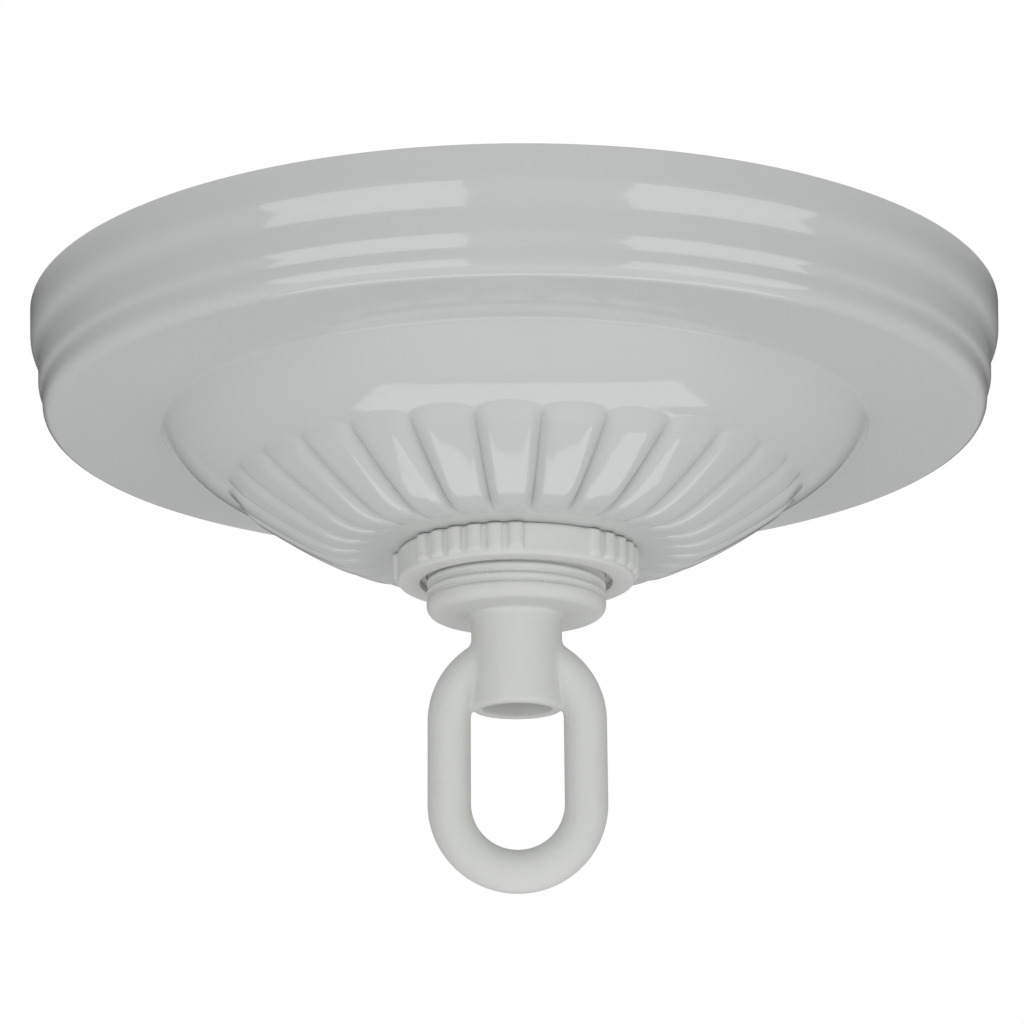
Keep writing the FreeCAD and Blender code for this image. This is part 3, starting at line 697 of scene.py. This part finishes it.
class ROSE_OT_canopy(bpy.types.Operator):
    """Stamped canopy: a beaded band, a flat ring and a bowl of arched lobes"""

    bl_idname = "ceiling_rose.canopy"
    bl_label = "Canopy"

    def execute(self, context):
        sizes = settings().canopy
        places, normals, heights, arches = map(list, zip(*canopy_rows(sizes)))
        piece = profile_piece("stamped_canopy", places, normal=normals, rise=heights, arch=arches)
        tree = ShapeTree("canopy_turning")
        lobes = tree.size("Lobes", sizes.lobes, "NodeSocketInt")
        start = tree.size("First valley", sizes.first_valley)
        turning = Turning(tree, lobes * LOBE_COLUMNS)
        off_crest = abs(tree.maths("FRACT", turning.turn * lobes) * 2 - 1)
        across = tree.limited(off_crest / turning.of_row(tree.attribute("arch")))
        crest = 1 - across ** LOBE_FLATNESS
        height = turning.of_row(tree.attribute("rise"))
        rise = height * crest
        # Depth in a valley, kept as the mark for the enamel's painted shade
        depth = (1 - crest) * height / sizes.lobe_height
        shade_marked = tree.keep(turning.grid, "valley", depth)
        tree.apply(piece, turning.shaped(start + FRONT, rise, shade_marked), finish_of("canopy_enamel"))
        seat_piece(piece, "canopy", "canopy_cover")
        return {"FINISHED"}


# Collar ring

RING_COLUMNS = 1200
WALL_ROWS = 22
BORE_EDGE = 0.2 * MM
RELIEF_EDGE = 0.15 * MM
RIB_CLEAR = 0.6 * MM
RIB_FOOT = 0.7 * MM
RIB_TOP = 0.4 * MM


def ring_rows(sizes):
    """The closed profile of the ring, with the share of a rib's height for each row."""
    foot, top = (corner.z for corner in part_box("collar_ring"))
    wall = sizes.diameter / 2
    edge = sizes.edge
    bore = sizes.bore / 2
    relief = sizes.relief_diameter / 2
    ceiling = foot + sizes.relief_depth
    points = arc((bore + BORE_EDGE, top - BORE_EDGE), BORE_EDGE, 180, 90, EDGE_STEPS)
    points += arc((wall - edge, top - edge), edge, 90, 0, ROUND_STEPS)
    for step in range(1, WALL_ROWS):
        points.append((wall, top - edge - (top - foot - 2 * edge) * step / WALL_ROWS))
    points += arc((wall - edge, foot + edge), edge, 0, -90, ROUND_STEPS)
    points += arc((relief + RELIEF_EDGE, foot + RELIEF_EDGE), RELIEF_EDGE, -90, -180, EDGE_STEPS)
    points += [(relief, ceiling), (bore, ceiling)]
    shares = []
    for radius, height in points:
        low = (height - foot - RIB_CLEAR) / RIB_FOOT
        high = (top - height) / RIB_TOP
        reach = max(0, min(1, low, high))
        on_wall = radius > wall - edge
        shares.append(math.sqrt(1 - (1 - reach) ** 2) if on_wall else 0.0)
    return points, shares


class ROSE_OT_collar_ring(bpy.types.Operator):
    """Cast screw ring with groups of half-round ribs on its wall"""

    bl_idname = "ceiling_rose.collar_ring"
    bl_label = "Collar ring"

    def execute(self, context):
        sizes = settings().ring
        points, shares = ring_rows(sizes)
        outward = [(1.0, 0.0, 0.0)] * len(points)
        piece = profile_piece("ribbed_ring", points, normal=outward, rib=shares)
        tree = ShapeTree("ring_turning")
        groups = tree.size("Groups", sizes.groups, "NodeSocketInt")
        ribs = tree.size("Ribs", sizes.ribs, "NodeSocketInt")
        pitch = tree.size("Rib pitch", sizes.rib_pitch)
        half = tree.size("Half rib", sizes.rib_width / 2)
        height = tree.size("Rib height", sizes.rib_height)
        start = tree.size("First rib", sizes.first_rib)
        wall = tree.size("Wall radius", sizes.diameter / 2)
        turning = Turning(tree, tree.size("Columns", RING_COLUMNS, "NodeSocketInt"))
        in_group = tree.maths("FRACT", turning.turn * groups) / groups * FULL_TURN - pitch / 2
        counted = tree.maths("MAXIMUM", tree.maths("ROUND", in_group / pitch), 0)
        nearest = tree.maths("MINIMUM", counted, ribs - 1)
        away = (in_group - nearest * pitch) * wall / half
        round_part = tree.maths("MAXIMUM", 1 - away * away, 0)
        rise = tree.maths("SQRT", round_part) * height * turning.of_row(tree.attribute("rib"))
        tree.apply(piece, turning.shaped(start - pitch / 2 + FRONT, rise), finish_of("cast_paint"))
        seat_piece(piece, "collar_ring", "screw_ring")
        return {"FINISHED"}


# Hanging loop: one casting, found as the zero of a distance in metres

CAST_CELL = 0.26 * MM
CELL_MARGIN = 2
CELL_CORNERS = 8
SETTLE_STEPS = 4
SLOPE_STEP = 0.01 * MM
LEAST_SLOPE = 0.2
BORE_LIP = 0.35 * MM
COLLAR_TOP_EDGE = 0.3 * MM
GROOVE_SHARPNESS = 1.7
THREAD_RUN_OUT = 0.3


def soft_union(first, second, softness):
    near = np.maximum(softness - np.abs(first - second), 0) / softness
    return np.minimum(first, second) - near * near * softness / 4


def round_meeting(first, second, radius):
    """The common part of two shapes, with the edge between them rounded."""
    a = first + radius
    b = second + radius
    return np.minimum(np.maximum(a, b), 0) + np.hypot(np.maximum(a, 0), np.maximum(b, 0)) - radius


class LoopCasting:
    """Distance to the casting's skin: collar with its thread, neck, link and wire way."""

    def __init__(self, sizes):
        self.sizes = sizes
        self.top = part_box("hanging_loop")[1].z
        self.neck_end = sizes.collar_foot - sizes.neck_length
        self.socket_end = self.top - sizes.pipe_socket
        upper = sizes.collar_foot - sizes.link_drop
        self.link_middle = upper - sizes.link_straight / 2

    def collar(self, reach, height, turn):
        sizes = self.sizes
        phase = height / sizes.thread_pitch + (turn - sizes.thread_start) / FULL_TURN
        groove = (0.5 + 0.5 * np.cos(FULL_TURN * phase)) ** GROOVE_SHARPNESS
        above = (height - sizes.collar_foot - sizes.plain_foot) / (THREAD_RUN_OUT * sizes.thread_pitch)
        depth = sizes.thread_depth * groove * np.clip(above, 0, 1)
        wall = reach - sizes.thread_diameter / 2 + depth
        body = round_meeting(wall, sizes.collar_foot - height, sizes.collar_round)
        return round_meeting(body, height - self.top, COLLAR_TOP_EDGE)

    def neck(self, reach, height):
        wall = reach - self.sizes.neck_diameter / 2
        body = round_meeting(wall, self.neck_end - height, 2 * BORE_LIP)
        return np.maximum(body, height - self.top)

    def link(self, x, y, height):
        sizes = self.sizes
        bend = (sizes.link_width - sizes.link_rod) / 2
        past = np.maximum(np.abs(height - self.link_middle) - sizes.link_straight / 2, 0)
        return np.hypot(np.hypot(x, past) - bend, y) - sizes.link_rod / 2

    def __call__(self, points):
        sizes = self.sizes
        x, y, height = points[..., 0], points[..., 1], points[..., 2]
        reach = np.hypot(x, y)
        solid = soft_union(self.neck(reach, height), self.link(x, y, height), sizes.cast_blend)
        solid = soft_union(solid, self.collar(reach, height, np.arctan2(y, x)), sizes.cast_blend)
        hole = np.where(height > self.socket_end, sizes.pipe_diameter, sizes.wire_way) / 2
        bore = np.maximum(reach - hole, self.neck_end - BORE_LIP - height)
        return round_meeting(solid, -bore, BORE_LIP)


def cast_skin(distance, low, high, cell):
    """Points and quads on the zero of a distance: one point in each grid cell that the skin crosses."""
    margin = CELL_MARGIN * cell
    axes = [np.arange(a - margin, b + margin + cell, cell) for a, b in zip(low, high)]
    inside = distance(np.stack(np.meshgrid(*axes, indexing="ij"), axis=-1)) < 0
    held = np.zeros([size - 1 for size in inside.shape], dtype=int)
    for corner in np.ndindex(2, 2, 2):
        held += inside[tuple(slice(at, at + size) for at, size in zip(corner, held.shape))]
    crossed = (held > 0) & (held < CELL_CORNERS)
    number = np.full(held.shape, -1)
    number[crossed] = np.arange(crossed.sum())
    cells = np.argwhere(crossed)
    points = np.array([axis[0] for axis in axes]) + (cells + 0.5) * cell
    quads = []
    for axis in range(3):
        ahead = np.roll(inside, -1, axis)
        edges = np.argwhere(inside != ahead)
        side, rise = np.eye(3, dtype=int)[(axis + 1) % 3], np.eye(3, dtype=int)[(axis + 2) % 3]
        ring = [number[tuple((edges - shift).T)] for shift in (0 * side, side, side + rise, rise)]
        faces = np.stack(ring, axis=1)
        outward = inside[tuple(edges.T)]
        faces[~outward] = faces[~outward][:, ::-1]
        quads.append(faces)
    return points, np.concatenate(quads)


def pressed_on(distance, points):
    """Move points onto the zero of a distance along its slope."""
    for step in range(SETTLE_STEPS):
        value = distance(points)
        slope = np.empty_like(points)
        for axis, shift in enumerate(np.eye(3) * SLOPE_STEP):
            slope[:, axis] = (distance(points + shift) - distance(points - shift)) / (2 * SLOPE_STEP)
        steepness = np.maximum((slope * slope).sum(axis=1), LEAST_SLOPE)
        points = points - slope * (value / steepness)[:, None]
    return points


class ROSE_OT_hanging_loop(bpy.types.Operator):
    """Cast loop: a threaded collar, a hollow neck and a chain link that flow into each other"""

    bl_idname = "ceiling_rose.hanging_loop"
    bl_label = "Hanging loop"

    def execute(self, context):
        casting = LoopCasting(settings().loop)
        low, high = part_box("hanging_loop")
        points, quads = cast_skin(casting, low, high, CAST_CELL)
        mesh = bpy.data.meshes.new("cast_loop")
        mesh.from_pydata(pressed_on(casting, points).tolist(), [], quads.tolist())
        mesh.materials.append(finish_of("cast_paint"))
        piece = in_scene("cast_loop", mesh)
        settle(piece)
        seat_piece(piece, "hanging_loop", "hanger")
        return {"FINISHED"}


# Fixings inside the canopy

STEM_COLUMNS = 48
ROWS_IN_PITCH = 10
HEAD_STEPS = 10
SLOT_OVERSIZE = 1.2
HEX_SIDES = 6
BOX_SCREWS = 2
HEX_EDGE = 0.3 * MM


def stem_rows(radius, low, high, pitch):
    """Close rows up a threaded stem, each with the share of the thread's depth there."""
    steps = round((high - low) / pitch * ROWS_IN_PITCH)
    rows = []
    for step in range(steps + 1):
        height = low + (high - low) * step / steps
        share = min(1, (height - low) / pitch, (high - height) / pitch)
        rows.append((radius, height, max(0.0, share)))
    return rows


def stem_piece(name, rows, **marks):
    """The profile of a threaded piece, from rows of radius, height and share of the thread."""
    return profile_piece(
        name, [row[:2] for row in rows], normal=[(1.0, 0.0, 0.0)] * len(rows),
        thread=[row[2] for row in rows], **marks)


def plain(points):
    return [(radius, height, 0.0) for radius, height in points]


def thread_rise(turning, pitch, depth):
    """How far the surface lies from a thread's crest, on a helix of one pitch."""
    tree = turning.tree
    height = turning.part(turning.spot, "Z")
    phase = tree.maths("FRACT", height / tree.size("Pitch", pitch) - turning.turn)
    return (abs(phase * 2 - 1) - 1) * tree.size("Depth", depth) * turning.of_row(tree.attribute("thread"))


def slotted(tree, mesh, width, foot):
    """A screw with a driver slot cut across the face of its head."""
    slot = settings().fixings.drive_slot
    size = (width * SLOT_OVERSIZE, slot, 2 * slot)
    block = tree.add("GeometryNodeMeshCube", None, {"Size": size}, "Mesh")
    cutter = tree.add("GeometryNodeTransform", None, {"Geometry": block, "Translation": (0, 0, foot)})
    return tree.add(
        "GeometryNodeMeshBoolean", {"operation": "DIFFERENCE", "solver": "EXACT"},
        {"Mesh 1": mesh, "Mesh 2": cutter}, "Mesh")


class ROSE_OT_threaded_pipe(bpy.types.Operator):
    """Hollow pipe with a thread over its whole length"""

    bl_idname = "ceiling_rose.threaded_pipe"
    bl_label = "Threaded pipe"

    def execute(self, context):
        sizes = settings().fixings
        low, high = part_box("threaded_pipe")
        bore = sizes.pipe_bore / 2
        rows = stem_rows(high.x, low.z, high.z, sizes.pipe_pitch)
        piece = stem_piece("threaded_pipe_dressed", rows + plain([(bore, high.z), (bore, low.z)]))
        tree = ShapeTree("pipe_turning")
        turning = Turning(tree, STEM_COLUMNS)
        rise = thread_rise(turning, sizes.pipe_pitch, sizes.thread_depth)
        tree.apply(piece, turning.shaped(0, rise), finish_of("zinc_plate"))
        seat_piece(piece, "threaded_pipe", "hanger")
        return {"FINISHED"}


class ROSE_OT_box_screws(bpy.types.Operator):
    """Two round-headed screws with driver slots"""

    bl_idname = "ceiling_rose.box_screws"
    bl_label = "Box screws"

    def execute(self, context):
        sizes = settings().fixings
        low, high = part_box("box_screws")
        head = sizes.head_diameter / 2
        ball = (head * head + sizes.head_height ** 2) / (2 * sizes.head_height)
        reach = math.degrees(math.asin(head / ball))
        neck = sizes.screw_neck / 2
        dome = arc((0, low.z + ball), ball, -90, reach - 90, HEAD_STEPS)
        rows = plain([(0.0, low.z)] + dome[1:])
        rows += plain([(neck, low.z + sizes.head_height), (neck, 0)])
        rows += stem_rows(sizes.screw_diameter / 2, 0, high.z, sizes.screw_pitch)
        piece = stem_piece("box_screws_dressed", rows + plain([(0.0, high.z)]))
        tree = ShapeTree("box_screw_turning")
        turning = Turning(tree, STEM_COLUMNS)
        rise = thread_rise(turning, sizes.screw_pitch, sizes.thread_depth)
        screw = slotted(tree, turning.shaped(0, rise), sizes.head_diameter, low.z)
        spacing = tree.size("Spacing", sizes.screw_spacing)
        step = tree.add("ShaderNodeCombineXYZ", None, {"X": spacing})
        start = tree.add("ShaderNodeCombineXYZ", None, {"X": spacing * -0.5})
        places = tree.add(
            "GeometryNodeMeshLine", None, {"Count": BOX_SCREWS, "Start Location": start, "Offset": step})
        both = tree.add("GeometryNodeInstanceOnPoints", None, {"Points": places, "Instance": screw})
        tree.apply(piece, both, finish_of("zinc_plate"))
        seat_piece(piece, "box_screws", "hanger")
        return {"FINISHED"}


class ROSE_OT_ground_screw(bpy.types.Operator):
    """Green screw with a hexagon washer head and a driver slot"""

    bl_idname = "ceiling_rose.ground_screw"
    bl_label = "Ground screw"

    def execute(self, context):
        sizes = settings().fixings
        low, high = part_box("ground_screw")
        flats = sizes.ground_flats / 2
        under = low.z + sizes.ground_head
        face = under - sizes.washer_height
        washer = sizes.ground_washer / 2
        head = [(0.0, low.z), (flats - HEX_EDGE, low.z), (flats, low.z + HEX_EDGE), (flats, face)]
        rows = plain(head + [(washer, face), (washer, under)])
        rows += stem_rows(sizes.ground_diameter / 2, under, high.z, sizes.screw_pitch)
        rows += plain([(0.0, high.z)])
        corners = [float(radius == flats) for radius, height, share in rows]
        piece = stem_piece("ground_screw_dressed", rows, hexagon=corners)
        tree = ShapeTree("ground_screw_turning")
        turning = Turning(tree, STEM_COLUMNS)
        fold = tree.maths("FRACT", turning.turn * HEX_SIDES) - 0.5
        corner = flats / tree.maths("COSINE", fold * (FULL_TURN / HEX_SIDES)) - flats
        rise = thread_rise(turning, sizes.screw_pitch, sizes.thread_depth)
        rise = rise + corner * turning.of_row(tree.attribute("hexagon"))
        screw = slotted(tree, turning.shaped(0, rise), sizes.ground_washer, low.z)
        place = tree.add("ShaderNodeCombineXYZ", None, {"X": tree.size("Place", sizes.ground_place)})
        moved = tree.add("GeometryNodeTransform", None, {"Geometry": screw, "Translation": place})
        tree.apply(piece, moved, finish_of("green_dye"))
        seat_piece(piece, "ground_screw", "hanger")
        return {"FINISHED"}


class ROSE_OT_strap_and_nuts(bpy.types.Operator):
    """Zinc plate on the mounting strap and the two locknuts"""

    bl_idname = "ceiling_rose.strap_and_nuts"
    bl_label = "Strap and nuts"

    def execute(self, context):
        for node in ("mounting_strap", "hex_locknuts"):
            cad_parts[node].material_slots[0].material = finish_of("zinc_plate")
        return {"FINISHED"}


# Stage

FLOOR_HALF = 4.0
FLOOR_CORNERS = ((-1, -1), (1, -1), (1, 1), (-1, 1))
SENSOR_WIDTH = 36
WHITE_LEVEL = 1.0
# Heights in the world, as the upward part of a direction
DIM_BLEND = 0.3
HIGH_START = 0.35
HIGH_BLEND = 0.3
# Softboxes as degrees from the front and width, with lengths in metres
SOFTBOXES = ((-32.7, 0.66), (46.3, 0.62))
SOFTBOX_DISTANCE = 0.8
SOFTBOX_HEIGHT = 0.72
SOFTBOX_MIDDLE = -0.35
TABLE_PLACE = (0.04, 0.2, -0.6)
TABLE_SIZE = (0.58, 0.26)


def studio_world(stage):
    """White to the camera, and overhead in reflections. The rest is a grey room, dimmest at the back."""
    world = bpy.data.worlds.new("studio")
    world.use_nodes = True
    graph = Graph(world.node_tree)
    world.node_tree.nodes.clear()
    direction = graph.add("ShaderNodeTexCoord", out="Generated")
    aside, ahead, up = (
        graph.add("ShaderNodeSeparateXYZ", None, {"Vector": direction}, axis) for axis in "XYZ")
    behind = graph.limited(ahead * 0.5 + 0.5)
    above_horizon = graph.limited(up / DIM_BLEND + 0.5)
    dim = graph.limited(ahead) * above_horizon * stage.back_drop + abs(aside) * stage.side_drop
    overhead = graph.limited((up - HIGH_START) / HIGH_BLEND)
    high = graph.limited(ahead) * overhead * stage.high_level
    strength = stage.front_level + behind * (stage.back_level - stage.front_level) - dim + high
    room = graph.add("ShaderNodeBackground", None, {"Color": tone(WHITE, 1), "Strength": strength})
    white = graph.add("ShaderNodeBackground", None, {"Color": tone(WHITE, 1), "Strength": WHITE_LEVEL})
    rays = ("Camera", "Glossy", "Transmission")
    camera, glossy, through = (graph.add("ShaderNodeLightPath", out=f"Is {ray} Ray") for ray in rays)
    seen = graph.limited(camera + (glossy + through) * overhead)
    both = graph.add("ShaderNodeMixShader", None, {0: seen, 1: room, 2: white})
    way_out = world.node_tree.nodes.new("ShaderNodeOutputWorld")
    world.node_tree.links.new(both.socket, way_out.inputs["Surface"])
    bpy.context.scene.world = world


def area_light(name, place, facing, width, height, radiance):
    """A soft rectangle of light that faces one way, of one brightness all over."""
    lamp = bpy.data.lights.new(name, "AREA")
    lamp.shape = "RECTANGLE"
    lamp.size = width
    lamp.size_y = height
    lamp.energy = radiance * math.pi * width * height
    light = in_scene(name, lamp)
    light.location = place
    light.rotation_euler = facing.to_track_quat("-Z", "Y").to_euler()


def photo_camera(stage):
    """A camera that looks up at the object from the front."""
    ahead = Vector((0, math.cos(stage.rise), math.sin(stage.rise)))
    aim = Vector(stage.aim)
    upright = Vector((1, 0, 0)).cross(ahead)
    basis = Matrix((Vector((1, 0, 0)), upright, -ahead)).transposed()
    turned = basis @ Matrix.Rotation(stage.roll, 3, "Z")
    data = bpy.data.cameras.new("camera")
    data.lens = stage.lens
    data.sensor_width = SENSOR_WIDTH
    camera = in_scene("camera", data)
    camera.matrix_world = Matrix.Translation(aim - ahead * stage.distance) @ turned.to_4x4()
    bpy.context.scene.camera = camera


def floor_paint():
    finish = Finish("floor_paint")
    grain = finish.noise(scale=3.0)
    return finish.surface(
        Base_Color=finish.mottled(WHITE, grain, dark=0.74, pale=0.77), Roughness=0.8)


class ROSE_OT_stage(bpy.types.Operator):
    """Pale floor, soft studio light and the camera"""

    bl_idname = "ceiling_rose.stage"
    bl_label = "Stage"

    def execute(self, context):
        stage = settings().stage
        context.scene.view_settings.view_transform = "Standard"
        studio_world(stage)
        for degrees, width in SOFTBOXES:
            turn = math.radians(degrees)
            place = Vector((math.sin(turn), -math.cos(turn), 0)) * SOFTBOX_DISTANCE
            place.z = SOFTBOX_MIDDLE
            middle = Vector((0, 0, SOFTBOX_MIDDLE))
            area_light("softbox", place, middle - place, width, SOFTBOX_HEIGHT, stage.softbox_level)
        area_light("lit_table", TABLE_PLACE, Vector((0, 0, 1)), *TABLE_SIZE, stage.table_level)
        mesh = bpy.data.meshes.new("floor")
        corners = [(x * FLOOR_HALF, y * FLOOR_HALF, stage.floor_height) for x, y in FLOOR_CORNERS]
        mesh.from_pydata(corners, [], [(0, 1, 2, 3)])
        mesh.materials.append(floor_paint())
        in_scene("floor", mesh)
        photo_camera(stage)
        return {"FINISHED"}


class ROSE_PT_panel(bpy.types.Panel):
    """Lists the steps that build the ceiling rose"""

    bl_idname = "ROSE_PT_panel"
    bl_label = "Ceiling Rose"
    bl_space_type = "VIEW_3D"
    bl_region_type = "UI"
    bl_category = "Ceiling Rose"

    def draw(self, context):
        for step in STEPS:
            self.layout.operator(step.bl_idname)


STEPS = (
    ROSE_OT_canopy, ROSE_OT_collar_ring, ROSE_OT_hanging_loop, ROSE_OT_threaded_pipe,
    ROSE_OT_box_screws, ROSE_OT_ground_screw, ROSE_OT_strap_and_nuts, ROSE_OT_stage,
)
SETTINGS = (CanopySizes, RingSizes, LoopSizes, FixingSizes, Finishes, StageSettings, CeilingRose)
CLASSES = SETTINGS + STEPS + (ROSE_PT_panel,)


def register():
    for item in CLASSES:
        bpy.utils.register_class(item)
    bpy.types.Scene.ceiling_rose = group(
        CeilingRose, "Ceiling rose", "Sizes, colours and stage of the ceiling rose")


def unregister():
    del bpy.types.Scene.ceiling_rose
    for item in reversed(CLASSES):
        bpy.utils.unregister_class(item)


def main():
    register()
    for step in STEPS:
        family, name = step.bl_idname.split(".")
        getattr(getattr(bpy.ops, family), name)()


if __name__ == "__main__":
    main()
